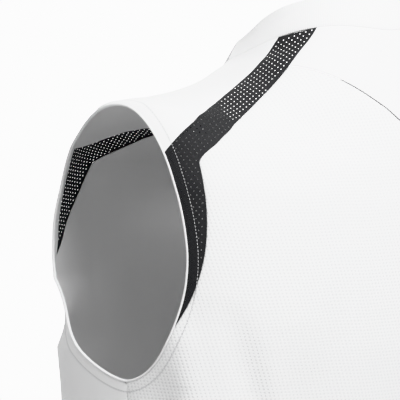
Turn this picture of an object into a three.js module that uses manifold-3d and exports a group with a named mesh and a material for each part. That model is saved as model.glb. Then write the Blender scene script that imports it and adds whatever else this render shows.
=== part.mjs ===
// A sleeveless sports t-shirt, hollow as if worn, in millimetres with +Z up.
// +X is the wearer's left and the wearer faces -Y. Z is 0 at the height of the shoulder tips.
import * as THREE from "three";
import Module from "manifold-3d";

const wasm = await Module();
wasm.setup();

// Cloth and seams
const wallThickness = 1.5;
const seamGap = 0.3;
const facingThickness = 1.0;
const armholeHemWidth = 8.5;
const collarThickness = 2.0;

// The form is a stack of rings. A point on it has an angle in degrees, 0 at the wearer's left
// side and 90 at the centre of the back, and a height up the cloth. Rings with a height above 0
// are tilted like cones round one centre, so that they follow the shoulders up to the neck.
const centreHeight = -100;
const centreDepth = 3;
const tiltRadius = 184;
const rings = [
  { height: -540, side: 204.0, back: 122.0, backFullness: 2.5, front: 128, frontFullness: 2.5 },
  { height: -440, side: 200.0, back: 120.0, backFullness: 2.5, front: 128, frontFullness: 2.5 },
  { height: -320, side: 191.0, back: 109.0, backFullness: 2.6, front: 122, frontFullness: 2.6 },
  { height: -200, side: 189.0, back: 112.0, backFullness: 2.7, front: 126, frontFullness: 2.7 },
  { height: -120, side: 189.5, back: 116.0, backFullness: 2.8, front: 129, frontFullness: 2.8 },
  { height: -70, side: 191.0, back: 119.0, backFullness: 2.9, front: 132, frontFullness: 2.9 },
  { height: 0, side: 190.5, back: 120.0, backFullness: 3.0, front: 135, frontFullness: 2.9 },
  { height: 35, side: 190.0, back: 119.5, backFullness: 2.9, front: 129, frontFullness: 2.8 },
  { height: 60, side: 189.0, back: 118.5, backFullness: 2.5, front: 120.5, frontFullness: 2.6 },
  { height: 75, side: 187.5, back: 118.0, backFullness: 2.2, front: 111, frontFullness: 2.35 },
  { height: 90, side: 182.0, back: 117.0, backFullness: 1.94, front: 99.5, frontFullness: 2.1 },
  { height: 100, side: 167.0, back: 116.2, backFullness: 1.92, front: 92, frontFullness: 1.98 },
  { height: 110, side: 150.3, back: 115.0, backFullness: 1.97, front: 85.5, frontFullness: 1.88 },
  { height: 130, side: 125.0, back: 111.5, backFullness: 2.18, front: 74.5, frontFullness: 1.75 },
  { height: 150, side: 105.8, back: 106.5, backFullness: 2.33, front: 67, frontFullness: 1.63 },
  { height: 170, side: 90.6, back: 100.5, backFullness: 2.4, front: 61, frontFullness: 1.52 },
  { height: 190, side: 77.0, back: 94.0, backFullness: 2.3, front: 58, frontFullness: 1.45 },
  { height: 210, side: 69.0, back: 86.0, backFullness: 2.1, front: 55, frontFullness: 1.5 },
  { height: 230, side: 61.0, back: 78.0, backFullness: 2.0, front: 52, frontFullness: 1.6 },
];

// The largest folds: soft troughs (depth below 0) and ridges that run from top to bottom.
const folds = [
  { topAngle: 29, top: -40, bottomAngle: 42, bottom: -230, width: 17, depth: -7 },
  { topAngle: 46, top: -60, bottomAngle: 52, bottom: -300, width: 20, depth: -6.5 },
  { topAngle: 13, top: -72, bottomAngle: 17, bottom: -270, width: 30, depth: -7 },
  { topAngle: 38, top: -80, bottomAngle: 47, bottom: -330, width: 18, depth: 4 },
  { topAngle: 72, top: -200, bottomAngle: 66, bottom: -520, width: 30, depth: -7 },
  { topAngle: 112, top: -150, bottomAngle: 104, bottom: -500, width: 28, depth: -6 },
  { topAngle: 134, top: -60, bottomAngle: 126, bottom: -330, width: 22, depth: -6 },
  { topAngle: 153, top: -70, bottomAngle: 143, bottom: -420, width: 19, depth: -5 },
  { topAngle: -34, top: -34, bottomAngle: -28, bottom: -84, width: 50, depth: -7.5 },
  { topAngle: -33, top: 45, bottomAngle: -33, bottom: -70, width: 11, depth: 2.8 },
  { topAngle: -40, top: -70, bottomAngle: -52, bottom: -380, width: 24, depth: -7 },
  { topAngle: -78, top: -170, bottomAngle: -70, bottom: -520, width: 30, depth: -8 },
  { topAngle: -118, top: -120, bottomAngle: -106, bottom: -500, width: 26, depth: -7 },
  { topAngle: -146, top: -60, bottomAngle: -134, bottom: -350, width: 21, depth: -6 },
];

// The armhole's edge is an oval in angle and height; its centre drifts back towards its foot.
const armhole = {
  height: -6,
  reach: 96,
  backWidth: 20.2,
  frontWidth: 34,
  footDrift: 4.5,
  upperFullness: 2.0,
  lowerBackFullness: 1.8,
  lowerFrontFullness: 1.5,
};

// Both edges of each mesh band, from above the collar seam down to the armhole.
const backBand = [
  { height: 199, upper: 34.4, lower: 55.5 },
  { height: 190, upper: 30.1, lower: 51.2 },
  { height: 178, upper: 27.9, lower: 45.9 },
  { height: 163, upper: 25.4, lower: 41.3 },
  { height: 147, upper: 22.75, lower: 37.2 },
  { height: 127, upper: 21.1, lower: 33.0 },
  { height: 114, upper: 20.35, lower: 30.7 },
  { height: 105, upper: 20.2, lower: 29.6 },
  { height: 96, upper: 20.35, lower: 28.9 },
  { height: 88, upper: 19.7, lower: 28.1 },
  { height: 79, upper: 18.45, lower: 26.95 },
  { height: 71, upper: 17.05, lower: 25.75 },
  { height: 63, upper: 15.5, lower: 23.9 },
  { height: 57, upper: 14.2, lower: 22.9 },
];
const frontBandUpper = [
  { angle: -52.0, height: 165 },
  { angle: -47.0, height: 145 },
  { angle: -41.5, height: 128 },
  { angle: -37.5, height: 114 },
  { angle: -36.0, height: 105 },
  { angle: -36.6, height: 97 },
  { angle: -37.0, height: 86 },
  { angle: -36.0, height: 75 },
  { angle: -32.5, height: 66 },
  { angle: -26.0, height: 61 },
  { angle: -18.0, height: 54 },
];
const frontBandLower = [
  { angle: -66.0, height: 150 },
  { angle: -60.0, height: 138 },
  { angle: -52.0, height: 124 },
  { angle: -46.0, height: 112 },
  { angle: -44.3, height: 104 },
  { angle: -45.2, height: 97 },
  { angle: -46.9, height: 87 },
  { angle: -47.4, height: 77 },
  { angle: -46.2, height: 66 },
  { angle: -43.4, height: 56 },
];
// Below its strip each band turns down the armhole as a crescent that tapers to a point.
const backCrescent = { corner: 57, tip: -63, width: 7.5, taper: 0.85 };
const frontCrescent = { corner: 56, tip: -47, width: -17.6, taper: 1.3 };

// The yoke seam from the band to the centre of the back, where it makes a soft V.
const yokeSeam = [
  { angle: 34, height: 164.5 },
  { angle: 42, height: 161.8 },
  { angle: 50, height: 158 },
  { angle: 60, height: 151.8 },
  { angle: 70, height: 143 },
  { angle: 80, height: 131.3 },
  { angle: 90, height: 117.5 },
];
const sideSeam = [
  { angle: 4.5, height: -98 },
  { angle: 4.5, height: -250 },
  { angle: 3.0, height: -545 },
];

// The neck seam's height, as waves round the neck: higher behind and at both sides.
const neckSeam = { middle: 173, once: 31, twice: 16 };

// The collar stands on the neck seam: how far it rises and leans in, by angle.
const collarShape = [
  { angle: -90, rise: 16.0, lean: 12.0 },
  { angle: -45, rise: 13.5, lean: 11.0 },
  { angle: -15, rise: 12.5, lean: 10.0 },
  { angle: 0, rise: 14.5, lean: 9.5 },
  { angle: 10, rise: 17.5, lean: 8.8 },
  { angle: 20, rise: 20.5, lean: 8.0 },
  { angle: 35, rise: 22.0, lean: 6.5 },
  { angle: 60, rise: 22.0, lean: 5.8 },
  { angle: 90, rise: 22.0, lean: 5.5 },
];

// The grid of the cloth's facets, closer at the sides and at the shoulders' ridges.
const columns = 44;
const sideCrowding = 0.15;
const bodyRowHeights = [-540, -410, -300, -205, -130, -75, -25, 20, 60];
const shoulderHeight = 90;
const shoulderRows = 7;
const seamStep = 20;
// How far the ribbons that cut the seams stand out of the cloth and reach in past it.
const bladeAbove = 4;
const bladeBelow = 8;
const longSeamStep = 70;

const radians = THREE.MathUtils.degToRad;

// A smooth curve through (x, y) pairs that never overshoots them, straight beyond both ends.
function steadyCurve(xs, ys) {
  const count = xs.length;
  const steps = xs.slice(1).map((x, i) => x - xs[i]);
  const slopes = steps.map((step, i) => (ys[i + 1] - ys[i]) / step);
  const tangents = ys.map((_, i) => {
    if (i === 0) return slopes[0];
    if (i === count - 1) return slopes[count - 2];
    if (slopes[i - 1] * slopes[i] <= 0) return 0;
    const before = 2 * steps[i] + steps[i - 1];
    const after = steps[i] + 2 * steps[i - 1];
    return (before + after) / (before / slopes[i - 1] + after / slopes[i]);
  });
  return (x) => {
    if (x <= xs[0]) return ys[0] + tangents[0] * (x - xs[0]);
    if (x >= xs[count - 1]) return ys[count - 1] + tangents[count - 1] * (x - xs[count - 1]);
    let i = 0;
    while (x > xs[i + 1]) i++;
    const t = (x - xs[i]) / steps[i];
    const rise = t * t * (3 - 2 * t);
    const early = t * (1 - t) * (1 - t) * steps[i] * tangents[i];
    const late = t * t * (t - 1) * steps[i] * tangents[i + 1];
    return ys[i] * (1 - rise) + ys[i + 1] * rise + early + late;
  };
}

function columnOf(table, key, by) {
  return steadyCurve(
    table.map((row) => row[by]),
    table.map((row) => row[key]),
  );
}

const ringSide = columnOf(rings, "side", "height");
const ringBack = columnOf(rings, "back", "height");
const ringBackFullness = columnOf(rings, "backFullness", "height");
const ringFront = columnOf(rings, "front", "height");
const ringFrontFullness = columnOf(rings, "frontFullness", "height");
const collarRise = columnOf(collarShape, "rise", "angle");
const collarLean = columnOf(collarShape, "lean", "angle");

// The turn from one angle to another, between -180 and 180 degrees.
function turnBetween(from, to) {
  return THREE.MathUtils.euclideanModulo(to - from + 180, 360) - 180;
}

function foldOffset(angle, height, radius) {
  let offset = 0;
  for (const fold of folds) {
    const down = (fold.top - height) / (fold.top - fold.bottom);
    if (down <= 0 || down >= 1) continue;
    const middle = THREE.MathUtils.lerp(fold.topAngle, fold.bottomAngle, down);
    const away = (radians(turnBetween(middle, angle)) * radius) / fold.width;
    offset += fold.depth * Math.exp(-away * away) * Math.sin(Math.PI * down);
  }
  return offset;
}

function formPoint(angle, height) {
  const turn = radians(angle);
  const behind = Math.sin(turn) > 0;
  const reach = behind ? ringBack(height) - centreDepth : ringFront(height) + centreDepth;
  const fullness = behind ? ringBackFullness(height) : ringFrontFullness(height);
  const across = (Math.abs(Math.cos(turn)) / ringSide(height)) ** fullness;
  const along = (Math.abs(Math.sin(turn)) / reach) ** fullness;
  const plain = (across + along) ** (-1 / fullness);
  const radius = plain + foldOffset(angle, height, plain);
  const climb = height > 0 ? radius * Math.tan(height / tiltRadius) : height;
  return new THREE.Vector3(
    radius * Math.cos(turn),
    centreDepth + radius * Math.sin(turn),
    centreHeight + climb,
  );
}

// The two directions along the cloth at a point, each per unit of its own coordinate.
function clothDirections(angle, height) {
  const nudge = 0.01;
  const round = formPoint(angle + nudge, height).sub(formPoint(angle - nudge, height));
  const up = formPoint(angle, height + nudge).sub(formPoint(angle, height - nudge));
  return { round: round.divideScalar(2 * nudge), up: up.divideScalar(2 * nudge) };
}

function clothNormal(angle, height) {
  const { round, up } = clothDirections(angle, height);
  return round.cross(up).normalize();
}

// A point in the cloth, so far in from its outer face.
function clothPoint(angle, height, depth) {
  return formPoint(angle, height).addScaledVector(clothNormal(angle, height), -depth);
}

function neckSeamHeight(angle) {
  const turn = radians(angle);
  return neckSeam.middle + neckSeam.once * Math.sin(turn) + neckSeam.twice * Math.cos(2 * turn);
}

// A closed ring wall from loops of points: up its outside, then down its inside with as many.
// Each square's diagonal is parallel on both faces of the wall and mirrored across the body.
function wallFromLoops(loops) {
  const size = loops[0].length;
  const positions = new Float32Array(loops.flat().flatMap((point) => point.toArray()));
  const faces = [];
  loops.forEach((_, row) => {
    const next = (row + 1) % loops.length;
    const inside = row >= loops.length / 2;
    for (let i = 0; i < size; i++) {
      const j = (i + 1) % size;
      const onRight = i >= size / 4 && i < (3 * size) / 4;
      const [a, b, c, d] = [row * size + i, row * size + j, next * size + j, next * size + i];
      if (inside === onRight) faces.push(a, b, c, a, c, d);
      else faces.push(a, b, d, b, c, d);
    }
  });
  return solidFrom(positions, faces);
}

function solidFrom(positions, faces) {
  const mesh = new wasm.Mesh({ numProp: 3, vertProperties: positions, triVerts: new Uint32Array(faces) });
  return new wasm.Manifold(mesh);
}

function columnAngles() {
  return Array.from({ length: columns }, (_, i) => {
    const even = (360 * i) / columns;
    return even - THREE.MathUtils.radToDeg(sideCrowding) * Math.sin(2 * radians(even));
  });
}

// Heights of the grid's rows at an angle: the body's, then evenly on up to the neck seam.
function rowHeights(angle) {
  const top = neckSeamHeight(angle);
  const upper = Array.from({ length: shoulderRows + 1 }, (_, i) =>
    THREE.MathUtils.lerp(shoulderHeight, top, i / shoulderRows),
  );
  return [...bodyRowHeights, ...upper];
}

// The whole garment as one wall between two depths, hem to neck seam.
function clothWall(outerDepth, innerDepth) {
  const angles = columnAngles();
  const heights = angles.map(rowHeights);
  const rowCount = heights[0].length;
  const loopAt = (row, depth) => angles.map((angle, i) => clothPoint(angle, heights[i][row], depth));
  const outside = Array.from({ length: rowCount }, (_, row) => loopAt(row, outerDepth));
  const inside = Array.from({ length: rowCount }, (_, row) => loopAt(row, innerDepth)).reverse();
  return wallFromLoops([...outside, ...inside]);
}

// A thin upright ribbon along a line on the cloth, as wide as a seam's gap, which cuts the wall.
function seamBlade(line, closed) {
  const points = line.map(({ angle, height }) => formPoint(angle, height));
  const count = points.length;
  const frames = line.map(({ angle, height }, i) => {
    const before = points[closed ? (i + count - 1) % count : Math.max(i - 1, 0)];
    const after = points[closed ? (i + 1) % count : Math.min(i + 1, count - 1)];
    const normal = clothNormal(angle, height);
    const along = after.clone().sub(before).normalize();
    const across = normal.clone().cross(along).normalize().multiplyScalar(seamGap / 2);
    return { centre: points[i], normal, across };
  });
  const corners = frames.flatMap(({ centre, normal, across }) => [
    centre.clone().add(across).addScaledVector(normal, bladeAbove),
    centre.clone().sub(across).addScaledVector(normal, bladeAbove),
    centre.clone().sub(across).addScaledVector(normal, -bladeBelow),
    centre.clone().add(across).addScaledVector(normal, -bladeBelow),
  ]);
  const faces = [];
  const spans = closed ? count : count - 1;
  for (let i = 0; i < spans; i++) {
    const here = 4 * i;
    const there = 4 * ((i + 1) % count);
    // Opposite sides have parallel diagonals, so a twisted ribbon keeps its thickness.
    for (const side of [0, 1]) {
      const turned = side + 1;
      faces.push(here + side, here + turned, there + turned);
      faces.push(here + side, there + turned, there + side);
    }
    for (const side of [2, 3]) {
      const turned = (side + 1) % 4;
      faces.push(here + side, here + turned, there + side);
      faces.push(here + turned, there + turned, there + side);
    }
  }
  if (!closed) {
    const last = 4 * (count - 1);
    faces.push(0, 2, 1, 0, 3, 2);
    faces.push(last, last + 1, last + 2, last, last + 2, last + 3);
  }
  const positions = new Float32Array(corners.flatMap((corner) => corner.toArray()));
  return solidFrom(positions, faces);
}

// A smooth line through a table's rows, with its points a step apart on the cloth.
function smoothLine(rows, angleKey = "angle", step = seamStep) {
  const spline = new THREE.SplineCurve(rows.map((row) => new THREE.Vector2(row[angleKey], row.height)));
  const fine = spline.getPoints(12 * rows.length);
  return evenLine(
    fine.map((point) => ({ angle: point.x, height: point.y })),
    step,
  );
}

// The same line with its points evenly apart on the cloth.
function evenLine(line, step = seamStep) {
  const points = line.map(({ angle, height }) => formPoint(angle, height));
  const lengths = [0];
  for (let i = 1; i < points.length; i++) lengths.push(lengths[i - 1] + points[i].distanceTo(points[i - 1]));
  const total = lengths[lengths.length - 1];
  const spans = Math.max(2, Math.round(total / step));
  let at = 0;
  return Array.from({ length: spans + 1 }, (_, i) => {
    const want = (total * i) / spans;
    while (at < lengths.length - 2 && lengths[at + 1] < want) at++;
    const t = (want - lengths[at]) / (lengths[at + 1] - lengths[at]);
    return {
      angle: THREE.MathUtils.lerp(line[at].angle, line[at + 1].angle, t),
      height: THREE.MathUtils.lerp(line[at].height, line[at + 1].height, t),
    };
  });
}

function mirrored(line) {
  return line.map(({ angle, height }) => ({ angle: 180 - angle, height })).reverse();
}

function signedPower(value, power) {
  return Math.sign(value) * Math.abs(value) ** power;
}

function armholePoint(turn) {
  const rise = Math.cos(turn);
  const swing = Math.sin(turn);
  const lowerFullness = swing > 0 ? armhole.lowerBackFullness : armhole.lowerFrontFullness;
  const fullness = rise < 0 ? lowerFullness : armhole.upperFullness;
  const up = signedPower(rise, 2 / fullness);
  const drift = armhole.footDrift * ((1 - up) / 2) ** 2;
  const width = swing > 0 ? armhole.backWidth : armhole.frontWidth;
  return {
    angle: drift + width * signedPower(swing, 2 / fullness),
    height: armhole.height + armhole.reach * up,
  };
}

// The angle of the armhole's edge at a height, on its back or front side.
function armholeAngle(height, behind) {
  const up = THREE.MathUtils.clamp((height - armhole.height) / armhole.reach, -1, 1);
  const lowerFullness = behind ? armhole.lowerBackFullness : armhole.lowerFrontFullness;
  const fullness = up < 0 ? lowerFullness : armhole.upperFullness;
  const drift = armhole.footDrift * ((1 - up) / 2) ** 2;
  const width = behind ? armhole.backWidth : -armhole.frontWidth;
  return drift + width * (1 - Math.abs(up) ** fullness) ** (1 / fullness);
}

// The armhole's edge without its last, repeated point.
function armholeLine() {
  const turns = Array.from({ length: 361 }, (_, i) => radians(i));
  return evenLine(turns.map(armholePoint)).slice(0, -1);
}

// A closed line moved sideways over the cloth, away from the hole, in short steps.
function widenedLine(line, distance) {
  const stepCount = 6;
  const step = distance / stepCount;
  let moved = line;
  for (let round = 0; round < stepCount; round++) {
    const points = moved.map(({ angle, height }) => formPoint(angle, height));
    const count = points.length;
    moved = moved.map(({ angle, height }, i) => {
      const directions = clothDirections(angle, height);
      const along = points[(i + 1) % count].clone().sub(points[(i + count - 1) % count]);
      const normal = directions.round.clone().cross(directions.up);
      const away = along.cross(normal).normalize();
      const roundRound = directions.round.dot(directions.round);
      const roundUp = directions.round.dot(directions.up);
      const upUp = directions.up.dot(directions.up);
      const awayRound = away.dot(directions.round);
      const awayUp = away.dot(directions.up);
      const scale = step / (roundRound * upUp - roundUp * roundUp);
      return {
        angle: angle - scale * (upUp * awayRound - roundUp * awayUp),
        height: height - scale * (roundRound * awayUp - roundUp * awayRound),
      };
    });
  }
  return moved;
}

function crescentLine(crescent, behind) {
  const pastTip = 5;
  const length = crescent.corner - crescent.tip;
  const line = Array.from({ length: 60 }, (_, i) => {
    const height = THREE.MathUtils.lerp(crescent.corner, crescent.tip - pastTip, i / 59);
    const spread = crescent.width * signedPower((height - crescent.tip) / length, crescent.taper);
    return { angle: armholeAngle(height, behind) + spread, height };
  });
  return evenLine(line);
}

// Every seam of one side, as lines on the cloth.
function sideLines() {
  return {
    bandEdges: [
      smoothLine(backBand, "upper"),
      smoothLine(backBand, "lower"),
      crescentLine(backCrescent, true),
      smoothLine(frontBandUpper),
      smoothLine(frontBandLower),
      crescentLine(frontCrescent, false),
    ],
    armholeEdge: armholeLine(),
    sideSeam: smoothLine(sideSeam, "angle", longSeamStep),
  };
}

function mirroredLines(lines) {
  return {
    bandEdges: lines.bandEdges.map(mirrored),
    armholeEdge: mirrored(lines.armholeEdge),
    sideSeam: mirrored(lines.sideSeam),
  };
}

// A small cube in the cloth, which tells one cut piece from another.
function probeAt(angle, height, depth) {
  const half = 1;
  const centre = clothPoint(angle, height, depth);
  const corners = [-half, half].flatMap((z) => [
    new THREE.Vector3(-half, -half, z),
    new THREE.Vector3(half, -half, z),
    new THREE.Vector3(half, half, z),
    new THREE.Vector3(-half, half, z),
  ]);
  const faces = [0, 2, 1, 0, 3, 2, 4, 5, 6, 4, 6, 7];
  for (let i = 0; i < 4; i++) {
    const j = (i + 1) % 4;
    faces.push(i, j, j + 4, i, j + 4, i + 4);
  }
  const points = corners.flatMap((corner) => corner.add(centre).toArray());
  return solidFrom(new Float32Array(points), faces);
}

function pieceAt(pieces, angle, height, depth = wallThickness / 2) {
  const probe = probeAt(angle, height, depth);
  return pieces.find((piece) => piece.intersect(probe).volume() > 0);
}

function cutBy(solid, blades) {
  return blades.reduce((rest, blade) => rest.subtract(blade), solid).decompose();
}

// The collar starts on the neck seam's own points and has a rounded top.
function collarRing() {
  const angles = columnAngles();
  const levels = [
    { share: 0, outer: 0, inner: wallThickness },
    { share: 0.4, outer: -0.3, inner: collarThickness - 0.3 },
    { share: 0.94, outer: -0.1, inner: collarThickness - 0.5 },
    { share: 1, outer: 0.4, inner: collarThickness - 1.1 },
  ];
  const loopAt = ({ share }, depth) =>
    angles.map((angle) => {
      const height = neckSeamHeight(angle);
      const up = clothDirections(angle, height).up.normalize();
      const fromBack = Math.abs(turnBetween(90, angle));
      const turn = radians(angle);
      const inward = new THREE.Vector3(-Math.cos(turn), -Math.sin(turn), 0);
      const rise = new THREE.Vector3(0, 0, collarRise(90 - fromBack) * share);
      return clothPoint(angle, height, depth)
        .addScaledVector(up, seamGap)
        .add(rise)
        .addScaledVector(inward, collarLean(90 - fromBack) * share);
    });
  const outside = levels.map((level) => loopAt(level, level.outer));
  const inside = levels.map((level) => loopAt(level, level.inner)).reverse();
  return wallFromLoops([...outside, ...inside]);
}

const leftLines = sideLines();
const sides = [
  { name: "left", lines: leftLines, face: (angle) => angle },
  { name: "right", lines: mirroredLines(leftLines), face: (angle) => 180 - angle },
];

// The body is cut along every band and armhole, then down its sides, then across at the yoke.
function cutPanels() {
  const blades = sides.flatMap(({ lines }) => [
    seamBlade(lines.armholeEdge, true),
    ...lines.bandEdges.map((line) => seamBlade(line, false)),
  ]);
  const cloth = cutBy(clothWall(0, wallThickness), blades);
  const body = pieceAt(cloth, 90, 0);
  const sideBlades = sides.map(({ lines }) => seamBlade(lines.sideSeam, false));
  const halves = cutBy(body, sideBlades);
  const yokeLine = smoothLine([...yokeSeam, ...mirrored(yokeSeam).slice(1)]);
  const backs = cutBy(pieceAt(halves, 90, 0), [seamBlade(yokeLine, false)]);
  const panels = {
    front_panel: pieceAt(halves, -90, 0),
    back_panel: pieceAt(backs, 90, 0),
    back_yoke: pieceAt(backs, 90, 150),
  };
  for (const { name, face } of sides) {
    panels[`shoulder_${name}`] = pieceAt(cloth, face(5), 110);
    panels[`band_back_${name}`] = pieceAt(cloth, face(25), 80);
    panels[`band_front_${name}`] = pieceAt(cloth, face(-40), 100);
  }
  return panels;
}

// The turned-in hem of each armhole, a second, thinner layer just inside the wall.
function cutFacings() {
  const outer = wallThickness + seamGap;
  const lining = clothWall(outer, outer + facingThickness);
  const facings = {};
  for (const { name, lines, face } of sides) {
    const hemLine = widenedLine(lines.armholeEdge, armholeHemWidth);
    const blades = [seamBlade(lines.armholeEdge, true), seamBlade(hemLine, true)];
    const middle = armhole.height - armhole.reach - armholeHemWidth / 2;
    const pieces = cutBy(lining, blades);
    facings[`armhole_facing_${name}`] = pieceAt(pieces, face(4.5), middle, outer + facingThickness / 2);
  }
  return facings;
}

const whiteJersey = { color: 0xf4f4f5, roughness: 0.85, metalness: 0 };
const whitePique = { color: 0xf1f1f3, roughness: 0.9, metalness: 0 };
const blackMesh = { color: 0x232326, roughness: 0.8, metalness: 0 };
const whiteRib = { color: 0xf2f2f4, roughness: 0.9, metalness: 0 };

function clothFor(name) {
  if (name.startsWith("band")) return blackMesh;
  if (name === "back_panel") return whitePique;
  if (name === "collar_rib") return whiteRib;
  return whiteJersey;
}

function meshFrom(name, solid) {
  const { vertProperties, triVerts } = solid.getMesh();
  const geometry = new THREE.BufferGeometry();
  geometry.setAttribute("position", new THREE.BufferAttribute(vertProperties, 3));
  geometry.setIndex(new THREE.BufferAttribute(triVerts, 1));
  geometry.computeVertexNormals();
  const mesh = new THREE.Mesh(geometry, new THREE.MeshStandardMaterial(clothFor(name)));
  mesh.name = name;
  return mesh;
}

const tidyTolerance = 0.05;
const shirt = new THREE.Group();
const pieces = { ...cutPanels(), collar_rib: collarRing(), ...cutFacings() };
for (const [name, solid] of Object.entries(pieces)) {
  shirt.add(meshFrom(name, solid.simplify(tidyTolerance)));
}

export default shirt;
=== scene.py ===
import json
import math

import bpy
import numpy as np
from mathutils import Matrix, Vector
from mathutils.geometry import delaunay_2d_cdt

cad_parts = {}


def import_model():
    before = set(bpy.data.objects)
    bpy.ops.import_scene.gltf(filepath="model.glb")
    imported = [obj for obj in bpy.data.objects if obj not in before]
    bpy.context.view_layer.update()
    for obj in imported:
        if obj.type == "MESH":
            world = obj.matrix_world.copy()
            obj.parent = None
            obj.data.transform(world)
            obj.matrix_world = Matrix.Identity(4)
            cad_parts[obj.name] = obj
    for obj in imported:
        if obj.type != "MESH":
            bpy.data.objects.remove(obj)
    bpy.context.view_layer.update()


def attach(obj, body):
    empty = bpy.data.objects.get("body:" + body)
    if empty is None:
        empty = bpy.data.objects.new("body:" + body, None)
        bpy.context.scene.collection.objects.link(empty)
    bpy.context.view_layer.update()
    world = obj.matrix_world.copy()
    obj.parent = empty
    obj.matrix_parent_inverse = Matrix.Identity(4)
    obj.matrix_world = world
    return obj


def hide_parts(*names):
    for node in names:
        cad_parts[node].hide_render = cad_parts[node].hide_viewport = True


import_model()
bpy.ops.object.select_all(action="DESELECT")
millimetre = 0.001

# the garment's form, in millimetres, angles in degrees: 0 is the wearer's left side, 90 the back
form = {
    "centreHeight": -100.0,
    "centreDepth": 3.0,
    "tiltRadius": 184.0,
    "ringColumns": ("height", "side", "back", "backFullness", "front", "frontFullness"),
    "rings": [
        (-540, 204.0, 122.0, 2.5, 128.0, 2.5),
        (-440, 200.0, 120.0, 2.5, 128.0, 2.5),
        (-320, 191.0, 109.0, 2.6, 122.0, 2.6),
        (-200, 189.0, 112.0, 2.7, 126.0, 2.7),
        (-120, 189.5, 116.0, 2.8, 129.0, 2.8),
        (-70, 191.0, 119.0, 2.9, 132.0, 2.9),
        (0, 190.5, 120.0, 3.0, 135.0, 2.9),
        (35, 190.0, 119.5, 2.9, 129.0, 2.8),
        (60, 189.0, 118.5, 2.5, 120.5, 2.6),
        (75, 187.5, 118.0, 2.2, 111.0, 2.35),
        (90, 182.0, 117.0, 1.94, 99.5, 2.1),
        (100, 167.0, 116.2, 1.92, 92.0, 1.98),
        (110, 150.3, 115.0, 1.97, 85.5, 1.88),
        (130, 125.0, 111.5, 2.18, 74.5, 1.75),
        (150, 105.8, 106.5, 2.33, 67.0, 1.63),
        (170, 90.6, 100.5, 2.4, 61.0, 1.52),
        (190, 77.0, 94.0, 2.3, 58.0, 1.45),
        (210, 69.0, 86.0, 2.1, 55.0, 1.5),
        (230, 61.0, 78.0, 2.0, 52.0, 1.6),
    ],
    # soft troughs (depth below 0) and ridges, the largest first, then the smaller creases
    "foldColumns": ("topAngle", "top", "bottomAngle", "bottom", "width", "depth"),
    "folds": [
        (29, -40, 42, -230, 17, -7.0),
        (46, -60, 52, -300, 20, -6.5),
        (13, -72, 17, -270, 30, -7.0),
        (38, -80, 47, -330, 18, 4.0),
        (72, -200, 66, -520, 30, -7.0),
        (112, -150, 104, -500, 28, -6.0),
        (134, -60, 126, -330, 22, -6.0),
        (153, -70, 143, -420, 19, -5.0),
        (-34, -34, -28, -84, 50, -7.5),
        (-33, 45, -33, -70, 11, 2.8),
        (-40, -70, -52, -380, 24, -7.0),
        (-78, -170, -70, -520, 30, -8.0),
        (-118, -120, -106, -500, 26, -7.0),
        (-146, -60, -134, -350, 21, -6.0),
    ],
    "creases": [
        (19, -30, 23, -210, 15, 3.0),
        (31, -45, 40, -210, 9, -2.2),
        (44, -62, 51, -260, 9, -1.7),
        (21, -25, 27, -120, 7, -1.1),
        (25, -60, 37, -190, 8, 1.2),
        (58, -20, 55, -210, 14, -1.6),
        (66, 10, 63, -170, 16, 1.2),
        (82, -90, 79, -330, 15, -1.8),
        (97, -40, 99, -290, 17, 1.5),
        (120, -30, 116, -240, 14, -1.7),
        (147, -20, 139, -190, 9, 1.4),
        (160, -40, 154, -220, 8, -1.3),
        (12, -150, 20, -420, 14, -2.6),
        (169, -170, 160, -430, 14, -2.4),
        (-12, -140, -22, -400, 15, -2.4),
        (-31, -40, -38, -230, 9, 1.5),
        (-60, 30, -56, -190, 16, -1.9),
        (-92, -20, -95, -260, 17, 1.7),
        (-104, 40, -101, -150, 13, -1.3),
        (-131, 20, -126, -210, 14, -1.7),
        (-152, -40, -147, -230, 10, 1.4),
        (-168, -150, -160, -410, 14, -2.3),
    ],
}


def steadyCurve(xs, ys):  # smooth through the points with no overshoot, straight beyond both ends
    xs, ys = np.asarray(xs, float), np.asarray(ys, float)
    steps = np.diff(xs)
    slopes = np.diff(ys) / steps
    tangents = np.zeros(len(xs))
    tangents[0], tangents[-1] = slopes[0], slopes[-1]
    for i in range(1, len(xs) - 1):
        if slopes[i - 1] * slopes[i] > 0:
            before = 2 * steps[i] + steps[i - 1]
            after = steps[i] + 2 * steps[i - 1]
            tangents[i] = (before + after) / (before / slopes[i - 1] + after / slopes[i])

    def at(x):
        x = np.asarray(x, float)
        i = np.clip(np.searchsorted(xs, x, side="right") - 1, 0, len(steps) - 1)
        t = np.clip((x - xs[i]) / steps[i], 0, 1)
        rise = t * t * (3 - 2 * t)
        early = t * (1 - t) ** 2 * steps[i] * tangents[i]
        late = t * t * (t - 1) * steps[i] * tangents[i + 1]
        inner = ys[i] * (1 - rise) + ys[i + 1] * rise + early + late
        return inner + tangents[0] * np.minimum(x - xs[0], 0) + tangents[-1] * np.maximum(x - xs[-1], 0)

    return at


ringRows = np.array(form["rings"], float)
ringCurves = {
    name: steadyCurve(ringRows[:, 0], ringRows[:, i]) for i, name in enumerate(form["ringColumns"]) if i
}


def foldOffset(angle, height, radius):
    offset = np.zeros_like(radius)
    for topAngle, top, bottomAngle, bottom, width, depth in form["folds"] + form["creases"]:
        down = (top - height) / (top - bottom)
        middle = topAngle + (bottomAngle - topAngle) * down
        turn = np.mod(angle - middle + 180, 360) - 180
        away = np.radians(turn) * radius / width
        offset += depth * np.exp(-away * away) * np.sin(math.pi * np.clip(down, 0, 1))
    return offset


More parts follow.
